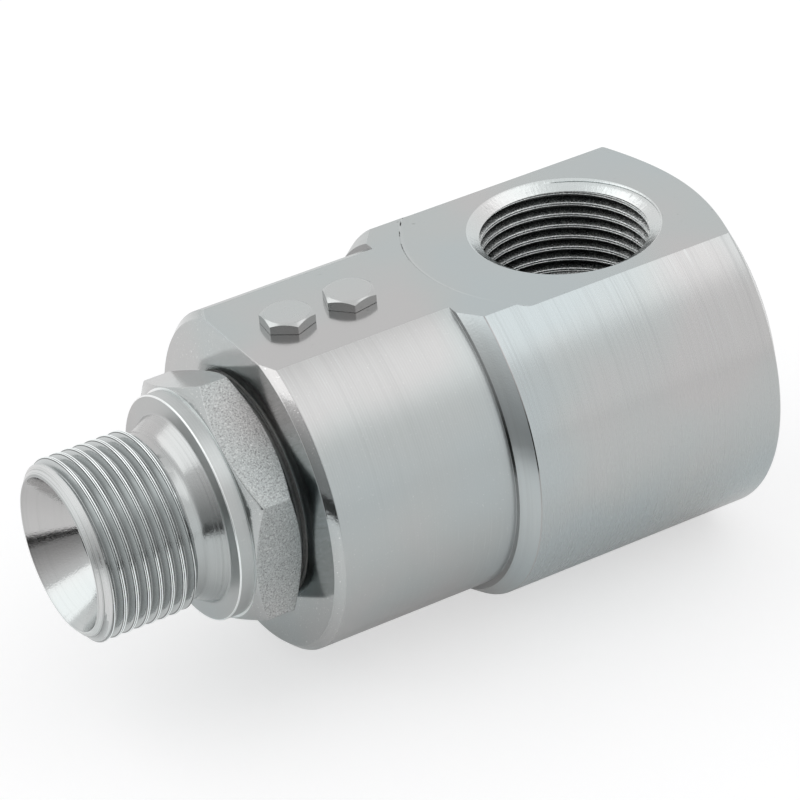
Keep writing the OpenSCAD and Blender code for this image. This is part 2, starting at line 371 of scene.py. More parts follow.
def mixed(tree, share, a, b):
    """Colour a where share is 0, and b where it is 1."""
    node = add(tree, "ShaderNodeMix", data_type="RGBA")
    for identifier, value in (("Factor_Float", share), ("A_Color", a), ("B_Color", b)):
        socket = next(s for s in node.inputs if s.identifier == identifier)
        feed_socket(tree, socket, value)
    return next(s for s in node.outputs if s.identifier == "Result_Color")


def stepped(tree, value, stops):
    """A colour ramp with stops (place, grey or colour)."""
    node = add(tree, "ShaderNodeValToRGB", {"Fac": value})
    elements = node.color_ramp.elements
    for i, (place, shade) in enumerate(stops):
        colour = (shade,) * 3 if isinstance(shade, (int, float)) else shade
        stop = elements[i] if i < len(elements) else elements.new(place)
        stop.position = place
        stop.color = (*colour, 1)
    return node.outputs["Color"]


def noise(tree, vector, scale, detail=2.0, roughness=0.5):
    sockets = {"Vector": vector, "Scale": scale, "Detail": detail, "Roughness": roughness}
    return add(tree, "ShaderNodeTexNoise", sockets).outputs["Fac"]


def stretched(tree, coordinates, scale):
    return add(tree, "ShaderNodeVectorMath", {0: coordinates, 1: scale},
               operation="MULTIPLY").outputs[0]


def polar(tree, coordinates, centre_x=None):
    """Place along an axis, radius and angle: round the X axis, or round the port's upright one."""
    x, y, z = split(tree, coordinates)
    if centre_x is None:
        along, across, up = x, y, z
    else:
        along, across, up = z, math_node(tree, "SUBTRACT", x, centre_x * MM), y
    radius = add(tree, "ShaderNodeVectorMath", {0: joined(tree, across, up)},
                 operation="LENGTH").outputs["Value"]
    return along, radius, math_node(tree, "ARCTAN2", up, across)


def empty_tree(block):
    """The node tree of a material or world, switched on and cleared."""
    block.use_nodes = True
    block.node_tree.nodes.clear()
    return block.node_tree


def new_material(name):
    material = bpy.data.materials.new(name)
    tree = empty_tree(material)
    shader = add(tree, "ShaderNodeBsdfPrincipled")
    add(tree, "ShaderNodeOutputMaterial", {"Surface": shader.outputs[0]})
    coordinates = add(tree, "ShaderNodeTexCoord").outputs["Object"]
    return material, tree, shader, coordinates


def set_surface(tree, shader, colour, roughness, height, depth, metallic=1.0):
    """Gives the shader its colour, its roughness and a relief of the given depth in metres."""
    bump = add(tree, "ShaderNodeBump", {"Height": height, "Distance": depth, "Strength": 1.0})
    feed_socket(tree, shader.inputs["Base Color"], colour)
    feed_socket(tree, shader.inputs["Roughness"], roughness)
    feed_socket(tree, shader.inputs["Normal"], bump.outputs[0])
    feed_socket(tree, shader.inputs["Metallic"], metallic)


# Colours of the plating: plain, tinted blue and tinted warm
ZINC = (0.462, 0.486, 0.484)
ZINC_BLUE = (0.442, 0.484, 0.493)
ZINC_WARM = (0.489, 0.484, 0.482)
# Colours of the marks on it; the first is a painted glint, pale specks that stand in for
# highlights
PAINTED_GLINT = (1.0, 1.0, 0.98, 1)
SCORED = (0.22, 0.23, 0.23, 1)
WORN = (0.34, 0.35, 0.35, 1)
# Nearly black, in broken patches along the spot face's edge
EDGE_BLACK = (0.05, 0.05, 0.05, 1)
PALE_GRAIN = (0.80, 0.81, 0.80, 1)
DEEP_GRAIN = (0.22, 0.22, 0.22, 1)
# Painted glints on a thread's flanks
THREAD_GLINT = (0.86, 0.87, 0.86, 1)
# Colours of the wiper's grain
WIPER_DARK = (0.140, 0.141, 0.136)
WIPER_PALE = (0.25, 0.251, 0.244)
# Spacing of the wiper's moulded rings, in millimetres
WIPER_RING_PITCH = 0.42

# Painted shade and light on the shoulder's corners: tone at angles in degrees above the horizontal
# on the +Y side
SHOULDER_SHADE_TONES = [(-8, 0.46), (6, 0.34), (10, 0.03), (22, 0.03), (28, 0.24), (40, 0.50),
                       (50, 0.46), (60, 0.30)]
# Painted light on a thread: tones from its shaded radius, at 0, to its highlit radius, at 1. The
# male's dark dip and white top are a painted shadow line and a painted highlight line.
MALE_TONES = [(0.0, 0.34), (0.45, 0.55), (0.79, 0.62), (0.85, 0.11), (0.90, 0.11), (0.95, 1.0)]
FEMALE_TONES = [(0.0, 0.10), (0.5, 0.17), (0.75, 0.31), (0.9, 0.48), (1.0, 0.66)]
NOISE_MIDDLE = 0.5


def zinc_colour(tree, coordinates, base=1.0):
    """The plating's faint drift of tint over the surface."""
    drift = noise(tree, coordinates, 34.0)
    stops = ((0.36, ZINC_BLUE), (0.5, ZINC), (0.64, ZINC_WARM))
    return stepped(tree, drift, [(at, tuple(base * c for c in colour)) for at, colour in stops])


def turned_steel(name, roughness=0.27, marks=1.0, hairlines=1.0, base=1.0, fine=5200.0,
                 anisotropy=0.45, chatter=0.0, scoring=0.3, wide=1500.0, fade_z=None,
                 grit=2600.0, feed=None, painted_glints=0.0):
    """Zinc-plated steel from the lathe: fine rings round the X axis, with short hairlines.

    fade_z is the heights between which the wide rings fade in, as painted light for the highlight
    near the top, and feed the lathe's step per turn.
    """
    material, tree, shader, coordinates = new_material(name)
    along, across, up = split(tree, coordinates)
    rings = noise(tree, stretched(tree, coordinates, (fine, 20.0, 20.0)), 1.0, 3.0, 0.6)
    wide_rings = noise(tree, stretched(tree, coordinates, (wide, 12.0, 12.0)), 1.0, 3.0, 0.7)
    lines = noise(tree, stretched(tree, coordinates, (4200.0, 110.0, 110.0)), 1.0, 2.0, 0.55)
    patches = noise(tree, coordinates, 70.0)
    grain = noise(tree, coordinates, grit)
    # Painted light: real lathe marks made to show more towards the top, where the highlight would
    # reveal them
    highlight_fade = 1.0
    if fade_z is not None:
        low, high = fade_z
        highlight_fade = math_node(tree, "DIVIDE", math_node(tree, "SUBTRACT", up, low * MM),
                              (high - low) * MM, True)
        highlight_fade = plus(tree, times(tree, highlight_fade, 0.8), 0.2)
        wide_rings = plus(tree, swing(tree, wide_rings, highlight_fade), NOISE_MIDDLE)
    sparse = times(tree, over(tree, lines, 0.58, 8.0),
                   math_node(tree, "SUBTRACT", patches, 0.50, True), True)

    colour = zinc_colour(tree, coordinates, base)
    pale = tuple(min(1.0, 1.3 * base * c) for c in ZINC) + (1.0,)
    colour = mixed(tree, times(tree, sparse, 2.0 * hairlines, True), colour, pale)
    if feed is not None:
        wave = math_node(tree, "SINE", times(tree, along, 2 * math.pi / (feed * MM)))
        cut = times(tree, times(tree, plus(tree, wave, 1.0), 0.09), highlight_fade)
        colour = mixed(tree, cut, colour, pale)
    # Painted glints: pale specks mixed into the colour, standing in for highlights
    if painted_glints > 0:
        painted_glint_dots = over(tree, noise(tree, coordinates, 3300.0, 1.0), 0.66, 12.0 * painted_glints)
        colour = mixed(tree, painted_glint_dots, colour, PAINTED_GLINT)
    scored = over(tree, NOISE_MIDDLE, wide_rings, 2.2 * marks * scoring)
    colour = mixed(tree, scored, colour, SCORED)
    rough = plus(tree, swing(tree, rings, 0.16 * marks), swing(tree, grain, 0.03), roughness)
    height = plus(tree, times(tree, rings, 0.7 * marks), times(tree, wide_rings, 1.7 * marks),
                  times(tree, sparse, 1.5 * hairlines), times(tree, grain, 0.10 + chatter))
    set_surface(tree, shader, colour, rough, height, 0.0000035)

    shader.inputs["Anisotropic"].default_value = anisotropy
    shader.inputs["Anisotropic Rotation"].default_value = 0.25
    around = joined(tree, 0.0, times(tree, up, -1.0), across)
    heading = add(tree, "ShaderNodeVectorTransform", {0: around}, vector_type="VECTOR",
                  convert_from="OBJECT", convert_to="WORLD")
    tree.links.new(heading.outputs[0], shader.inputs["Tangent"])
    return material


def reamed_steel(name):
    """The port's rim: bright steel with the cutter's chatter across it."""
    material, tree, shader, coordinates = new_material(name)
    round_port = joined(tree, *polar(tree, coordinates, PORT_X))
    chatter = noise(tree, stretched(tree, round_port, (500.0, 500.0, 26.0)), 1.0, 3.0, 0.65)
    rings = noise(tree, stretched(tree, round_port, (3000.0, 5000.0, 3.0)), 1.0)
    nicks = noise(tree, coordinates, 2300.0)
    worn = over(tree, chatter, 0.62, 5.0)
    colour = mixed(tree, worn, zinc_colour(tree, coordinates, 1.32), WORN)
    rough = plus(tree, swing(tree, chatter, 0.3), 0.24)
    height = plus(tree, times(tree, chatter, 2.0), rings, nicks)
    set_surface(tree, shader, colour, rough, height, 0.00002)
    return material


def satin_steel(name, roughness=0.17, base=1.0, wave=0.5):
    """Milled and plated steel: nearly a mirror, with faint drifts and specks."""
    material, tree, shader, coordinates = new_material(name)
    slow = noise(tree, coordinates, 160.0)
    grain = noise(tree, coordinates, 3200.0)
    speck = over(tree, noise(tree, coordinates, 900.0, 1.0), 0.74, 6.0)
    dark = tuple(0.5 * base * c for c in ZINC) + (1.0,)
    colour = mixed(tree, speck, zinc_colour(tree, coordinates, base), dark)
    rough = plus(tree, swing(tree, grain, 0.10), swing(tree, slow, 0.08), roughness)
    height = plus(tree, times(tree, slow, wave), times(tree, grain, 0.12))
    set_surface(tree, shader, colour, rough, height, 0.000006)
    return material


def patchy_edge_steel(name):
    """The steep edge round the spot face, coloured nearly black in broken patches."""
    material, tree, shader, coordinates = new_material(name)
    breaks = noise(tree, coordinates, 330.0, 3.0, 0.7)
    dark = over(tree, breaks, 0.50, 14.0)
    colour = mixed(tree, dark, zinc_colour(tree, coordinates, 1.1), EDGE_BLACK)
    set_surface(tree, shader, colour, plus(tree, times(tree, dark, 0.4), 0.2), breaks, 0.00005)
    return material


def painted_shade_steel(name):
    """Corner of the shoulder, its tone painted by angle round the axis: painted shade over part of
    the way round.
    """
    material, tree, shader, coordinates = new_material(name)
    _, _, angle = polar(tree, coordinates)
    ragged = noise(tree, coordinates, 420.0, 3.0, 0.7)
    share = plus(tree, math_node(tree, "DIVIDE", angle, 2 * math.pi), 0.5,
                 swing(tree, ragged, 0.03))
    stops = [(0.5 + turn / 360, tone) for turn, tone in SHOULDER_SHADE_TONES]
    set_surface(tree, shader, stepped(tree, share, stops), 0.3, ragged, 0.00002)
    return material


def grainy_steel(name):
    """Drawn hexagon bar under zinc: an even, pebbly grain with pale and dark grains."""
    material, tree, shader, coordinates = new_material(name)
    pebbles = noise(tree, coordinates, 4300.0, 2.0, 0.6)
    coarse = noise(tree, coordinates, 1200.0)
    colour = zinc_colour(tree, coordinates, 0.97)
    colour = mixed(tree, over(tree, pebbles, 0.54, 3.0), colour, PALE_GRAIN)
    colour = mixed(tree, over(tree, 0.50, pebbles, 4.5), colour, DEEP_GRAIN)
    rough = plus(tree, times(tree, pebbles, 0.20), 0.34)
    height = plus(tree, pebbles, times(tree, coarse, 0.8))
    set_surface(tree, shader, colour, rough, height, 0.00006)
    return material


def thread_steel(name, highlight_r, shade_r, tones, centre_x=None, roughness=0.24, glint_speckle=0.0):
    """Steel thread with painted light: a painted highlight at one radius, and painted shade
    towards the other.
    """
    material, tree, shader, coordinates = new_material(name)
    _, radius, _ = polar(tree, coordinates, centre_x)
    share = math_node(tree, "DIVIDE", math_node(tree, "SUBTRACT", radius, shade_r * MM),
                      (highlight_r - shade_r) * MM, True)
    grain = noise(tree, coordinates, 4200.0, 3.0, 0.6)
    streaks = noise(tree, coordinates, 700.0)
    colour = stepped(tree, share, [(at, (0.96 * tone, tone, tone)) for at, tone in tones])
    # Painted glints: pale specks, more towards the highlit radius, standing in for highlights on
    # the rough plating
    speck = times(tree, over(tree, grain, 0.50, 5.0 * glint_speckle),
                  math_node(tree, "POWER", share, 1.3))
    colour = mixed(tree, speck, colour, THREAD_GLINT)
    rough = plus(tree, swing(tree, streaks, 0.2), roughness)
    set_surface(tree, shader, colour, rough, grain, 0.000006 + 0.00002 * glint_speckle)
    return material


def wiper_plastic():
    """Filled sealing plastic with fine moulded rings."""
    material, tree, shader, coordinates = new_material("wiper_plastic")
    _, radius, _ = polar(tree, coordinates)
    rings = math_node(tree, "SINE", times(tree, radius, 2 * math.pi / (WIPER_RING_PITCH * MM)))
    grain = noise(tree, coordinates, 2400.0)
    colour = stepped(tree, grain, [(0.3, WIPER_DARK), (0.7, WIPER_PALE)])
    rough = plus(tree, times(tree, grain, 0.2), 0.28)
    height = plus(tree, times(tree, rings, 1.2), grain)
    set_surface(tree, shader, colour, rough, height, 0.00003, metallic=0.0)
    return material


def plain_finish(name, colour, roughness, metallic=0.0):
    """A fine-grained finish for the pieces inside the joint."""
    material, tree, shader, coordinates = new_material(name)
    grain = noise(tree, coordinates, 1500.0, 3.0)
    dark = tuple(0.85 * c for c in colour)
    tint = stepped(tree, grain, [(0.35, dark), (0.65, colour)])
    rough = plus(tree, times(tree, grain, 0.12), roughness)
    set_surface(tree, shader, tint, rough, grain, 0.000004, metallic)
    return material


turned = turned_steel("turned_zinc", roughness=0.34, marks=0.8, hairlines=0.7, fine=6500.0,
                      feed=0.4, fade_z=(4.0, 16.0), painted_glints=0.08)
rear_turned = turned_steel("rear_turned_zinc", roughness=0.27, marks=1.2, base=1.03, scoring=0.4,
                            wide=4200.0, fade_z=(6.0, 18.0))
neck_turned = turned_steel("neck_zinc", roughness=0.22, marks=2.2, hairlines=0.8, base=0.98,
                           anisotropy=0.5, chatter=3.0, scoring=0.25)
# Painted highlight: a near-white copy of the zinc for edge rows, standing in for the thin bright
# lines that light draws along them
highlight_edge = turned_steel("painted_highlight_edge_zinc", roughness=0.30, marks=0.8, base=1.9, scoring=0.0)
mouth_turned = turned_steel("mouth_zinc", roughness=0.30, marks=2.5, hairlines=3.0, base=1.42,
                            chatter=4.0, scoring=1.0, wide=3800.0, grit=3500.0)
cone_turned = turned_steel("cone_zinc", roughness=0.13, marks=1.0, hairlines=0.5, base=1.12,
                           anisotropy=0.2, chatter=3.5, grit=4500.0)
polished = turned_steel("chamfer_zinc", roughness=0.13, marks=0.9, hairlines=1.2, base=1.06,
                        anisotropy=0.25, chatter=3.0, grit=3200.0, painted_glints=0.3)
shoulder_turned = turned_steel("shoulder_zinc", roughness=0.32, marks=1.0, hairlines=0.5,
                               base=1.12, anisotropy=0.2, chatter=6.0, grit=4500.0)
shoulder_shade = painted_shade_steel("shoulder_painted_shade_zinc")
mill_edge = patchy_edge_steel("mill_edge_zinc")
bore_finish = turned_steel("bore_zinc", roughness=0.3, marks=0.5, base=0.9)
port_rim = reamed_steel("port_rim_zinc")
face_turned = turned_steel("face_zinc", roughness=0.15, marks=0.3, hairlines=0.2, base=1.04,
                           painted_glints=0.35)
milled = satin_steel("milled_zinc")
hex_grain = grainy_steel("hexagon_zinc")
male_thread = thread_steel("male_thread_zinc", THREAD_R, CORE_R, MALE_TONES, roughness=0.2)
female_thread = thread_steel("port_thread_zinc", CORE_R, THREAD_R, FEMALE_TONES, PORT_X,
                             roughness=0.28, glint_speckle=2.2)
plug_finish = satin_steel("plug_zinc", roughness=0.22, base=1.02, wave=0.8)
plug_top_finish = satin_steel("plug_top_zinc", roughness=0.30, base=1.07, wave=1.0)
wiper_finish = wiper_plastic()
ball_finish = plain_finish("ball_chrome", (0.62, 0.63, 0.65), 0.05, 1.0)
rubber = plain_finish("seal_rubber", (0.020, 0.020, 0.021), 0.5)
white_plastic = plain_finish("backup_plastic", (0.72, 0.71, 0.67), 0.35)


# Housing
TURNED, REAR, CHAMFER, SHOULDER, FACE, FLAT, STEP, BORE, THREAD, RIM, SHADED_CORNER = range(11)
HOUSING_MATERIALS = [turned, rear_turned, polished, shoulder_turned, face_turned, milled,
                     mill_edge, bore_finish, female_thread, port_rim, shoulder_shade]


def spot_levels(count=6):
    """Levels (station, radius, height) of the spot face's wall, from the flat down its fillet."""
    steepest = math.acos(1 - (FLAT_Z - SPOT_Z) / SPOT_FILLET)
    foot_r = SPOT_R - SPOT_FILLET * math.sin(steepest)
    levels = []
    for slope in np.linspace(steepest, 0, count):
        r = foot_r + SPOT_FILLET * math.sin(slope)
        z = SPOT_Z + SPOT_FILLET * (1 - math.cos(slope))
        y = math.sqrt((REAR_R - EDGE) ** 2 - (z - EDGE) ** 2)
        levels.append((PORT_X + math.sqrt(r ** 2 - y ** 2), r, z))
    return levels


def flat_height(x, levels):
    """Height of the flat where it meets the side at station x."""
    past_front = max(0.0, x - (HOUSING_LEN - EDGE))
    front_z = FLAT_Z - EDGE + math.sqrt(EDGE ** 2 - past_front ** 2)
    along = [level[0] for level in reversed(levels)]
    up = [level[2] for level in reversed(levels)]
    return min(front_z, float(np.interp(x, along, up)))


def half_section(body_r, flat_z, edge_steps=4, arc_steps=100):
    """Section of the body from the flat's edge down to its lowest point."""
    if body_r <= flat_z:
        edge_y, start = 0.0, math.pi / 2
        points = [(0.0, body_r)] * (edge_steps + 1)
    else:
        edge_y = math.sqrt((body_r - EDGE) ** 2 - (flat_z - EDGE) ** 2)
        start = math.atan2(flat_z - EDGE, edge_y)
        points = [(edge_y + EDGE * math.cos(a), flat_z - EDGE + EDGE * math.sin(a))
                  for a in np.linspace(math.pi / 2, start, edge_steps + 1)]
    points += [(body_r * math.cos(a), body_r * math.sin(a))
               for a in np.linspace(start, -math.pi / 2, arc_steps + 1)[1:]]
    return points


# Steps from where the flat starts on the rear chamfer, and other stations along plain lengths
FLAT_START_STEPS = [0, 0.04, 0.1, 0.2, 0.35, 0.6, 0.95, 1.4, 1.9, 2.5]
PLAIN_STATIONS = [12.0, 24.0, 41.0, 55.0, 64.0]


def housing_outline():
    """Stations (x, radius, material number) of the turned outside, from rear to front."""
    rear_len, rear_depth = REAR_CHAMFER
    front_len, front_depth = FRONT_CHAMFER
    corners = [
        (0, REAR_R - rear_depth - STUB, 0),
        (0, REAR_R - rear_depth, 0.3),
        (rear_len, REAR_R, 0.5),
        (SHOULDER_X - SHOULDER_CHAMFER, REAR_R, 0.3),
        (SHOULDER_X, FRONT_R + SHOULDER_STEP, 0.06),
        (SHOULDER_X, FRONT_R, 0.06),
        (HOUSING_LEN - front_len, FRONT_R, 0.16),
        (HOUSING_LEN, FRONT_R - front_depth, 0.12),
        (HOUSING_LEN, FRONT_R - front_depth - STUB, 0)]
    outline = rounded(corners)[1:-1]
    flat_start = rear_len * (SPOT_Z - (REAR_R - rear_depth)) / rear_depth
    extra = [flat_start + step for step in FLAT_START_STEPS]
    extra += [level[0] for level in spot_levels()]
    extra += PLAIN_STATIONS + [HOUSING_LEN - EDGE * share for share in (1, 0.5, 0.25)]
    for x in extra:
        for i in range(len(outline) - 1):
            (x0, r0), (x1, r1) = outline[i], outline[i + 1]
            if x0 < x < x1:
                outline.insert(i + 1, (x, r0 + (r1 - r0) * (x - x0) / (x1 - x0)))
                break
    chamfer_x = SHOULDER_X - SHOULDER_CHAMFER
    stations = []
    for (x, r), (next_x, next_r) in zip(outline, outline[1:] + outline[-1:]):
        material = REAR if x < chamfer_x - 0.5 else TURNED
        if abs(next_r - r) > 0.02:
            material = SHOULDER if chamfer_x - 0.5 < x <= SHOULDER_X else CHAMFER
        middle_x, middle_r = (x + next_x) / 2, (r + next_r) / 2
        on_step = abs(middle_x - SHOULDER_X) < 0.02 and middle_r > FRONT_R + 0.02
        # The step face and the chamfer's foot take the shoulder's painted shade
        if on_step or abs(middle_x - chamfer_x) < 0.1:
            material = SHADED_CORNER
        stations.append((x, r, material))
    return stations


def housing_block():
    """The housing before boring: turned body, milled flat and spot face, with broken edges."""
    levels = spot_levels()
    stations = housing_outline()
    points = []
    for x, r, _ in stations:
        half = half_section(r, flat_height(x, levels))
        points += [(x, y, z) for y, z in half]
        points += [(x, -y, z) for y, z in reversed(half[:-1])]
    width = len(points) // len(stations)
    faces, indices = [], []
    for i in range(len(stations) - 1):
        for j in range(width - 1):
            a = i * width + j
            faces.append((a, a + 1, a + width + 1, a + width))
            indices.append(stations[i][2])
        if stations[i][0] >= HOUSING_LEN - EDGE - NEAR:
            faces.append((i * width, (i + 1) * width, (i + 2) * width - 1, (i + 1) * width - 1))
            indices.append(CHAMFER)
    faces.append(tuple(range(width)))
    faces.append(tuple(range((len(stations) - 1) * width, len(stations) * width)))
    indices += [FACE, FACE]

    right = [i * width for i in range(len(stations))]
    left = [(i + 1) * width - 1 for i in range(len(stations))]
    at = [min(range(len(stations)), key=lambda i: abs(stations[i][0] - x)) for x, _, _ in levels]
    front = min(i for i, s in enumerate(stations) if s[0] >= HOUSING_LEN - EDGE - NEAR)
    rear = max(i for i, s in enumerate(stations)
               if s[1] <= SPOT_Z + NEAR and s[0] < REAR_CHAMFER[0])

    curves = []
    for i, (x, r, z) in zip(at, levels):
        reach = math.acos((x - PORT_X) / r)
        curve = [right[i]]
        for a in np.linspace(reach, -reach, 73)[1:-1]:
            curve.append(len(points))
            points.append((PORT_X + r * math.cos(a), r * math.sin(a), z))
        curves.append(curve + [left[i]])
    for k, (upper, lower) in enumerate(zip(curves, curves[1:])):
        for j in range(len(upper) - 1):
            faces.append((upper[j], upper[j + 1], lower[j + 1], lower[j]))
            indices.append(STEP if k == 0 else FLAT)
    for (i, k), upper, lower in zip(zip(at, at[1:]), curves, curves[1:]):
        if i - k > 1:
            faces.append(tuple([upper[0]] + right[k + 1:i][::-1] + [lower[0]]))
            faces.append(tuple([lower[-1]] + left[k + 1:i] + [upper[-1]]))
            indices += [FLAT, FLAT]
    faces.append(tuple(right[rear:at[-1]] + curves[-1] + left[rear + 1:at[-1]][::-1]))
    faces.append(tuple(curves[0] + left[at[0] + 1:front + 1] + right[at[0] + 1:front + 1][::-1]))
    indices += [FLAT, FLAT]
    return mesh_object("housing_body", points, faces, indices, HOUSING_MATERIALS)


def round_angles(count):
    """Evenly spaced angles; each cutter adds a small turn, so that no two surfaces coincide."""
    return np.linspace(0, 2 * math.pi, count + 1)


def bore_cutter():
    """What is bored along the swivel axis: journal bore, seal grooves, races and cross bore."""
    tip_x, cone_x, cross_r = CROSS_BORE
    section = [(tip_x, 0), (cone_x, cross_r), (BORE_END_X, cross_r), (BORE_END_X, BORE_R)]
    for start, end, r in (PRESSURE_GROOVE, GREASE_GROOVE):
        section += [(start, BORE_R), (start, r), (end, r), (end, BORE_R)]
    section += race_points(REAR_ROW_X, 1) + race_points(FRONT_ROW_X, 1)
    section += [(WIPER_X, BORE_R), (WIPER_X, WIPER_R)]
    mouth_r = WIPER_R + 0.2
    rim = [(HOUSING_LEN - 0.2, WIPER_R), (HOUSING_LEN - 0.13, WIPER_R + 0.03),
           (HOUSING_LEN + 0.06, mouth_r), (HOUSING_LEN + STUB, mouth_r), (HOUSING_LEN + STUB, 0)]
    rows = plain_rows(section, BORE) + plain_rows(rim, CHAMFER)
    return spun("bore_cutter", rows, round_angles(144) + 0.013, on_x, HOUSING_MATERIALS, False)


def port_cutter():
    """The tapped port: drill tip, thread, start chamfer and rim."""
    low = ramp((PORT_WALL_Z, CORE_R), (PORT_CHAMFER_Z, CORE_R))
    high = ramp((PORT_WALL_Z, CORE_R), (PORT_WALL_Z + PORT_RUN_OUT, THREAD_R),
                (PORT_CHAMFER_Z, THREAD_R))
    angles = round_angles(180) + 0.007
    rows = plain_rows([(PORT_TIP_Z, 0)], BORE)
    rows += plain_rows([(PORT_WALL_Z, CORE_R)], THREAD)
    rows += thread_rows(PORT_WALL_Z, PORT_CHAMFER_Z, angles, FEMALE_FORM, low, high, THREAD)
    rows += plain_rows([(PORT_CHAMFER_Z, CORE_R)], RIM)
    rows += thread_start_rows(angles)
    mouth_r, mouth_z = PORT_RIM_R + 0.16, SPOT_Z + STUB
    rim = [(SPOT_Z - 0.08, PORT_RIM_R - 0.12), (SPOT_Z - 0.02, PORT_RIM_R + 0.01),
           (SPOT_Z + 0.04, mouth_r), (mouth_z, mouth_r), (mouth_z, 0)]
    rows += plain_rows(rim, RIM)
    return spun("port_cutter", rows, angles, on_z(PORT_X), HOUSING_MATERIALS, False)


# Depth of the line across the start chamfer, and half its width as a share of the chamfer
LINE_DEPTH = 0.13
LINE_HALF = 0.045


def thread_start_rows(angles):
    """The start chamfer, with the last thread groove running out across it as a fine line."""
    low_angle, high_angle = math.radians(250), math.radians(150)
    low_share, high_share = 0.70, 0.90
    centre = np.interp(angles, [angles[0], high_angle, low_angle, angles[-1]],
                       [high_share, high_share, low_share, high_share])
    run = np.clip((angles - low_angle) / (high_angle - low_angle), 0, 1)
    depth = LINE_DEPTH * np.clip(8 * run, 0, 1) * np.clip(8 * (1 - run), 0, 1)
    rows = []
    for offset, sunk in ((-0.35, 0), (-LINE_HALF, 0), (0, 1), (LINE_HALF, 0)):
        share = centre + offset
        rows.append((PORT_CHAMFER_Z + share * (SPOT_Z - PORT_CHAMFER_Z) - 0.5 * sunk * depth,
                     CORE_R + share * (PORT_RIM_R - CORE_R) + sunk * depth, RIM))
    return rows


def loading_hole_cutter(row_x):
    """The hole that the balls pass through, from inside the bore to above the flat."""
    low, high = PLUG_FOOT_Z - 6, FLAT_Z + 1
    section = [(low, 0), (low, BALL_HOLE_R), (PLUG_FOOT_Z, BALL_HOLE_R),
               (PLUG_FOOT_Z, PLUG_THREAD_R), (high, PLUG_THREAD_R), (high, 0)]
    return spun("hole_cutter", plain_rows(section, BORE), round_angles(48) + 0.02, on_z(row_x),
                HOUSING_MATERIALS, False)


def make_housing():
    housing = housing_block()
    carve(housing, [bore_cutter(), port_cutter(), loading_hole_cutter(FRONT_ROW_X),
                    loading_hole_cutter(REAR_ROW_X)])
    smooth(housing)
    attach(housing, "housing")
    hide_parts("housing")


# Rotor
R_TURNED, R_POLISHED, R_HEX, R_SMOOTH, R_THREAD, R_FACE, R_CONE, R_HIGHLIGHT_EDGE, R_MOUTH = range(9)
ROTOR_MATERIALS = [turned, neck_turned, hex_grain, milled, male_thread, face_turned, cone_turned,
                   highlight_edge, mouth_turned]


def hexagon_rows(angles, edge=0.07):
    """Rows over the hexagon, which is chamfered towards both ends, from face to face."""
    hex_r = hexagon_radius(angles - angles[0], HEX_FLAT_R, HEX_CORNER_R)
    stand = hex_r - HEX_FACE_R
    rise = stand * HEX_BEVEL
    shy = np.minimum(edge, 0.4 * stand)
    chamfer = [(rise * share, HEX_FACE_R + stand * share) for share in (0, 0.35, 0.7)]
    near = [(rise - shy * HEX_BEVEL, hex_r - shy), (rise + 0.25 * edge, hex_r - 0.22 * shy),
            (rise + edge, hex_r), (rise + 3 * edge, hex_r)]
    rows = [(HEX_X + offset, r, R_FACE) for offset, r in chamfer]
    rows += [(HEX_X + offset, r, R_HEX) for offset, r in near]
    rows.append(((HEX_X + HEX_END_X) / 2, hex_r, R_HEX))
    rows += [(HEX_END_X - offset, r, R_HEX) for offset, r in near[:1:-1]]
    rows += [(HEX_END_X - offset, r, R_FACE) for offset, r in near[1::-1] + chamfer[::-1]]
    return rows


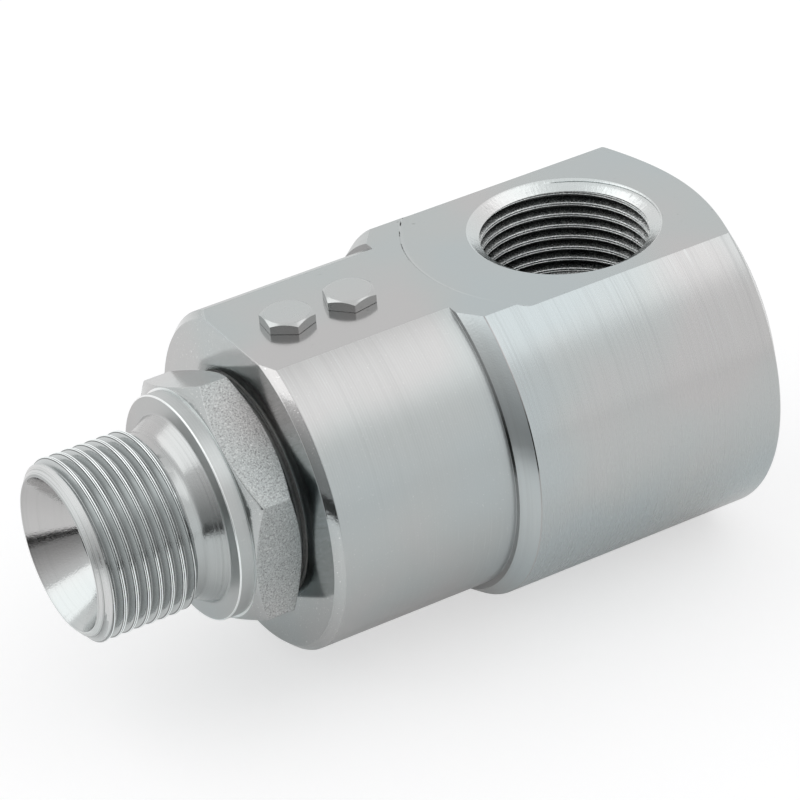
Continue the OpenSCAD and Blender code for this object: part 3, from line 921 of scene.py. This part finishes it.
def make_rotor():
    angles = hexagon_angles(HEX_TURN)
    rear_x = rotor_low.x
    chamfer_x = rear_x + TAIL_CHAMFER
    journal = rounded([(rear_x, FLOW_R + TAIL_CHAMFER, 0.1),
                       (rear_x, JOURNAL_R - TAIL_CHAMFER, 0.1),
                       (chamfer_x, JOURNAL_R, 0.1), (chamfer_x + TAIL_LEAD, JOURNAL_R, 0)])
    journal += race_points(REAR_ROW_X, -1) + race_points(FRONT_ROW_X, -1)
    journal += rounded([(HEX_X - 1.5, JOURNAL_R, 0), (HEX_X, JOURNAL_R, 0.25),
                        (HEX_X, HEX_FACE_R - 0.3, 0)])
    rows = plain_rows(journal, R_TURNED) + hexagon_rows(angles)
    # The hexagon's last chamfer row takes the painted highlight
    rows[-1] = rows[-1][:2] + (R_HIGHLIGHT_EDGE,)
    steps = 6
    collar = rounded([(HEX_END_X, COLLAR_R, 0), (NECK_X, COLLAR_R, 0.2),
                      (NECK_X, NECK_ROOT_R, 0.4), (TAPER_END_X, NECK_R, 1.6),
                      (THREAD_X, NECK_R, 0)], steps=steps)
    edge_end, root_end = steps + 1, 2 * (steps + 1)
    # The collar's front edge takes the painted highlight
    rows += plain_rows(collar[:1], R_TURNED) + plain_rows(collar[1:edge_end], R_HIGHLIGHT_EDGE)
    rows += plain_rows(collar[edge_end:root_end], R_TURNED)
    rows += plain_rows(collar[root_end:], R_POLISHED)
    lead_out = ROTOR_END_X - END_CHAMFER
    last_r = CORE_R - 0.1
    last = lead_out + (THREAD_R - last_r) * END_CHAMFER / (THREAD_R - END_FACE_R)
    low = ramp((THREAD_X, NECK_R), (THREAD_X + 0.5, CORE_R), (last - 0.05, CORE_R), (last, last_r))
    high = ramp((THREAD_X, NECK_R), (THREAD_X + THREAD_LEAD_IN, THREAD_R), (lead_out, THREAD_R),
                (last, last_r))
    rows += thread_rows(THREAD_X, last, angles, MALE_FORM, low, high, R_THREAD)
    end = rounded([(last, last_r, 0), (ROTOR_END_X, END_FACE_R, 0.12),
                   (ROTOR_END_X, CONE_MOUTH_R, 0.07), (CONE_END_X, FLOW_R, 0.3),
                   (chamfer_x, FLOW_R, 0)])
    at_mouth = min(i for i, point in enumerate(end) if point[1] <= CONE_MOUTH_R)
    rows += plain_rows(end[:at_mouth], R_MOUTH) + plain_rows(end[at_mouth:], R_CONE)
    rotor = spun("rotor_body", rows, angles, on_x, ROTOR_MATERIALS, True)
    for face in rotor.data.polygons:
        along, across, up = face.center / MM
        turn = math.degrees(math.atan2(up, across) - HEX_TURN)
        if face.material_index == R_HEX and 60 < turn < 120:
            face.material_index = R_SMOOTH
        if (face.material_index == R_THREAD and along > lead_out
                and math.hypot(across, up) > high(along) - 0.03):
            face.material_index = R_MOUTH
    smooth(rotor)
    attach(rotor, "rotor")
    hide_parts("rotor")


def make_plug(name, node, row_x):
    """Screw plug: hexagon head on the flat, with its shank in the loading hole."""
    angles = hexagon_angles(PLUG_TURNS[row_x], 120)
    hex_r = hexagon_radius(angles - angles[0], PLUG_FLAT_R, PLUG_CORNER_R)
    stand = hex_r - PLUG_TOP_R
    top = FLAT_Z + PLUG_HEAD
    fall = stand * math.tan(math.radians(30))
    shank_r, foot, seat, rim = PLUG_THREAD_R - 0.04, PLUG_FOOT_Z + 0.05, FLAT_Z + 0.02, top - fall
    shank = [(foot, 0), (foot, PLUG_THREAD_R - 0.3), (PLUG_FOOT_Z + 0.3, shank_r), (seat, shank_r)]
    head = [(seat, hex_r - 0.06), (FLAT_Z + 0.08, hex_r), (FLAT_Z + 0.2, hex_r),
            (rim - 0.12, hex_r), (rim - 0.04, hex_r), (rim, hex_r - 0.012),
            (rim + 0.02, hex_r - 0.05)]
    head += [(top - fall * share, PLUG_TOP_R + stand * share) for share in (0.5, 0.15)]
    cap = [(top, PLUG_TOP_R - 0.03), (top, PLUG_TOP_R - 0.2), (top, 1.2), (top, 0)]
    rows = plain_rows(shank + head, 0) + plain_rows(cap, 1)
    plug = spun(name, rows, angles, on_z(row_x), [plug_finish, plug_top_finish], False)
    smooth(plug, 25)
    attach(plug, "housing")
    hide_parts(node)


def make_wiper():
    """The ring in the front face: a lip on the journal, a slot behind it and a fine groove."""
    rear_x, face_x = WIPER_X + 0.02, HOUSING_LEN - WIPER_RECESS
    outer_r, lip_r = WIPER_R - 0.02, BORE_R + WIPER_LIP
    slot_width, slot_depth = WIPER_SLOT
    slot_x, slot_r = face_x - slot_depth, lip_r + slot_width
    section = rounded([
        (rear_x, BORE_R, 0.1), (face_x, BORE_R, 0.12), (face_x, lip_r, 0.12),
        (slot_x, lip_r, 0.05), (slot_x, slot_r, 0.05), (face_x, slot_r, 0.1),
        (face_x, outer_r - 0.3, 0.02), (face_x - 0.12, outer_r - 0.24, 0.02),
        (face_x, outer_r - 0.16, 0.02), (face_x, outer_r, 0.06), (rear_x, outer_r, 0.1)],
        closed=True)
    wiper = spun("wiper_lip_ring", plain_rows(section, 0), round_angles(180), on_x,
                 [wiper_finish], True)
    smooth(wiper)
    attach(wiper, "housing")
    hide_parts("wiper_ring")


make_housing()
make_rotor()
make_plug("front_plug_screw", "front_ball_plug", FRONT_ROW_X)
make_plug("rear_plug_screw", "rear_ball_plug", REAR_ROW_X)
make_wiper()

for name, node in frame["nodes"].items():
    finish = None
    if "_ball_" in name and not name.endswith("plug"):
        finish = ball_finish
    elif name.endswith("o_ring"):
        finish = rubber
    elif name.endswith("backup_ring"):
        finish = white_plastic
    if finish:
        for slot in node.material_slots:
            slot.material = finish


# Camera at the photograph's place: metres, degrees, and the roll in radians
CAMERA_AIM = Vector((0.04886, -0.00078, 0.00357))
CAMERA_DISTANCE = 0.6034
CAMERA_AZIMUTH = 151.697
CAMERA_ELEVATION = 31.36
CAMERA_ROLL = math.radians(4.958)
CAMERA_LENS = 192.906
CAMERA_SENSOR = 36


def towards(azimuth, elevation):
    """Unit vector towards an azimuth, counted as for views, and an elevation, in degrees."""
    a, e = math.radians(azimuth), math.radians(elevation)
    return Vector((math.sin(a) * math.cos(e), -math.cos(a) * math.cos(e), math.sin(e)))


def make_camera():
    back = towards(CAMERA_AZIMUTH, CAMERA_ELEVATION)
    level = towards(CAMERA_AZIMUTH + 90, 0)
    above = back.cross(level)
    right = level * math.cos(CAMERA_ROLL) - above * math.sin(CAMERA_ROLL)
    up = back.cross(right)
    data = bpy.data.cameras.new("camera")
    data.lens = CAMERA_LENS
    data.sensor_width = CAMERA_SENSOR
    data.clip_start, data.clip_end = 0.01, 20
    camera = link_object("camera", data)
    place = Matrix((right, up, back)).transposed().to_4x4()
    place.translation = CAMERA_AIM + back * CAMERA_DISTANCE
    camera.matrix_world = place
    bpy.context.scene.camera = camera


# Studio: metres and degrees
FLOOR_Z = housing_low.z * MM
FLOOR_HALF = 3.0
LAMP_DISTANCE = 0.9
STUDIO_CENTRE = Vector((0.05, 0, 0))
WHITE = (1, 1, 1, 1)
# Brightness of the dim side of the studio, from the horizon up, and where that side lies
DIM_SIDE = [(0.0, 0.28), (0.09, 0.29), (0.26, 0.36), (0.42, 0.48), (0.57, 0.60), (0.66, 0.74),
            (0.84, 0.95)]
DIM_SIDE_AZIMUTH = 132
DIM_SIDE_FULL = 24
DIM_SIDE_NONE = 50
# Strength of the world's soft fill
FILL = 0.75
# The floor's colour for light, and its colour and glow for the camera and in reflections
FLOOR_COLOUR = (0.94, 0.94, 0.94, 1)
FLOOR_SEEN = (0.52, 0.52, 0.525, 1)
FLOOR_GLOW_SEEN = 0.56
FLOOR_GLOW_MIRRORED = 0.10


def facing(tree, direction, azimuth, full, none):
    """1 within the angle full of an azimuth, falling to 0 at the angle none, in degrees."""
    flat = add(tree, "ShaderNodeVectorMath",
               {0: stretched(tree, direction, (1.0, 1.0, 0.0))}, operation="NORMALIZE").outputs[0]
    dot = add(tree, "ShaderNodeVectorMath", {0: flat, 1: towards(azimuth, 0)},
              operation="DOT_PRODUCT").outputs["Value"]
    sockets = {"Value": dot, "From Min": math.cos(math.radians(none)),
               "From Max": math.cos(math.radians(full))}
    return add(tree, "ShaderNodeMapRange", sockets, interpolation_type="SMOOTHSTEP").outputs[0]


def make_world():
    """White for the camera, an even fill for soft light, and a studio for what metal mirrors."""
    world = bpy.data.worlds.new("studio")
    tree = empty_tree(world)
    direction = add(tree, "ShaderNodeTexCoord").outputs["Generated"]
    height = add(tree, "ShaderNodeSeparateXYZ", {0: direction}).outputs[2]
    dim_side = facing(tree, direction, DIM_SIDE_AZIMUTH, DIM_SIDE_FULL, DIM_SIDE_NONE)
    studio = mixed(tree, dim_side, WHITE, stepped(tree, height, DIM_SIDE))
    white, mirrored, fill = (
        add(tree, "ShaderNodeBackground", {"Color": colour, "Strength": strength}).outputs[0]
        for colour, strength in ((WHITE, 1.0), (studio, 1.0), (WHITE, FILL)))
    rays = add(tree, "ShaderNodeLightPath").outputs
    seen = fill
    for ray, background in (("Is Transmission Ray", white), ("Is Glossy Ray", mirrored),
                            ("Is Camera Ray", white)):
        seen = add(tree, "ShaderNodeMixShader",
                   {0: rays[ray], 1: seen, 2: background}).outputs[0]
    add(tree, "ShaderNodeOutputWorld", {"Surface": seen})
    bpy.context.scene.world = world


def make_floor():
    """A plain pale floor that reads as white to the camera and keeps the object's shadow."""
    mesh = bpy.data.meshes.new("floor")
    corners = [(x * FLOOR_HALF, y * FLOOR_HALF, FLOOR_Z)
               for x, y in ((-1, -1), (1, -1), (1, 1), (-1, 1))]
    mesh.from_pydata(corners, [], [(0, 1, 2, 3)])
    floor = link_object("floor", mesh)
    material = bpy.data.materials.new("floor_white")
    tree = empty_tree(material)
    rays = add(tree, "ShaderNodeLightPath").outputs
    shade = mixed(tree, rays["Is Camera Ray"], FLOOR_COLOUR, FLOOR_SEEN)
    glow = plus(tree, times(tree, rays["Is Camera Ray"], FLOOR_GLOW_SEEN),
                times(tree, rays["Is Glossy Ray"], FLOOR_GLOW_MIRRORED))
    diffuse = add(tree, "ShaderNodeBsdfDiffuse", {"Color": shade}).outputs[0]
    lift = add(tree, "ShaderNodeEmission", {"Color": WHITE, "Strength": glow}).outputs[0]
    both = add(tree, "ShaderNodeAddShader", {0: diffuse, 1: lift}).outputs[0]
    add(tree, "ShaderNodeOutputMaterial", {"Surface": both})
    mesh.materials.append(material)


def make_card(name, radius, azimuths, heights, brightness):
    """A curved card round the object, seen only in reflections."""
    columns = 24
    points = []
    for azimuth in np.linspace(*azimuths, columns + 1):
        foot = STUDIO_CENTRE + towards(azimuth, 0) * radius
        points += [(foot.x, foot.y, height) for height in heights]
    faces = [(2 * i, 2 * i + 2, 2 * i + 3, 2 * i + 1) for i in range(columns)]
    mesh = bpy.data.meshes.new(name)
    mesh.from_pydata(points, [], faces)
    card = link_object(name, mesh)
    material = bpy.data.materials.new(name)
    tree = empty_tree(material)
    glow = add(tree, "ShaderNodeEmission", {"Color": WHITE, "Strength": brightness}).outputs[0]
    add(tree, "ShaderNodeOutputMaterial", {"Surface": glow})
    mesh.materials.append(material)
    card.visible_camera = False
    card.visible_shadow = False
    card.visible_diffuse = False


def make_lamp(name, azimuth, elevation, size, radiance):
    """A softbox at the studio's lamp distance, facing the object."""
    data = bpy.data.lights.new(name, "AREA")
    data.shape = "RECTANGLE"
    data.size, data.size_y = size
    data.energy = radiance * math.pi * size[0] * size[1]
    lamp = link_object(name, data)
    back = towards(azimuth, elevation)
    lamp.location = STUDIO_CENTRE + back * LAMP_DISTANCE
    lamp.rotation_mode = "QUATERNION"
    lamp.rotation_quaternion = (-back).to_track_quat("-Z", "Y")
    lamp.visible_camera = False


make_camera()
make_world()
make_floor()
make_card("dark_strip", 0.2, (98, 168), (FLOOR_Z, 0.006), 0.03)
make_lamp("top_softbox", -128, 58, (0.9, 0.5), 0.52)
make_lamp("side_softbox", 54, 52, (1.0, 0.55), 0.65)

bpy.context.scene.view_settings.view_transform = "Standard"
